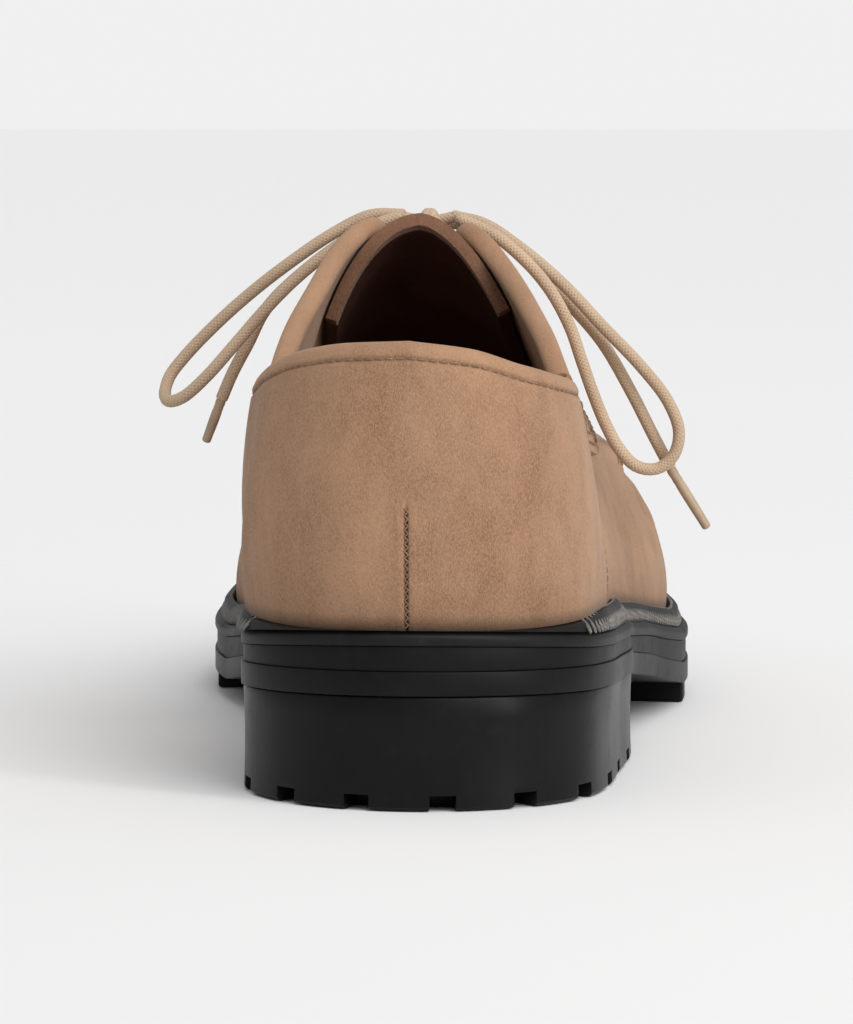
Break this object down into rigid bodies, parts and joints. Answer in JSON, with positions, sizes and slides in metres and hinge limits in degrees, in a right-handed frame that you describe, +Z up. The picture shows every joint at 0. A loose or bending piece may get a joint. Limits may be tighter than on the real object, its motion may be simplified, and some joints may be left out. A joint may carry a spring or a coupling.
{
  "type": "split toe derby shoe",
  "caption": "Right split toe derby shoe in suede, with a one-piece heel panel, open facings, a tied lace, a leather tongue, a welt and a black rubber lug sole with a block heel.",
  "frame": {"origin": "on the floor, under the middle of the shoe's length and width, without the free lace", "axes": "+Z up, +Y from the heel to the toe, +X to the outer (lateral) side of this right shoe"},
  "size_m": [0.1201, 0.3021, 0.1144],
  "materials": {
    "rubber": "satin black rubber",
    "suede": "taupe-beige suede with a soft nap",
    "lining": "dark brown smooth leather",
    "insole": "brown smooth leather",
    "lace": "round woven cotton lace, tan",
    "aglet": "clear-coated tan tip"
  },
  "bodies": {
    "root": {"outsole": "rubber", "heel": "rubber", "midsole": "rubber", "welt": "rubber", "insole": "insole", "upper": "suede", "heel_panel": "suede", "facing_lateral": "suede", "facing_medial": "suede", "tongue": "lining", "lace_crossings": "lace", "lace_knot": "lace", "lace_loop_lateral": "lace", "lace_end_lateral": "lace", "lace_loop_medial": "lace", "lace_end_medial": "lace", "aglet_lateral": "aglet", "aglet_medial": "aglet"}
  },
  "joints": []
}
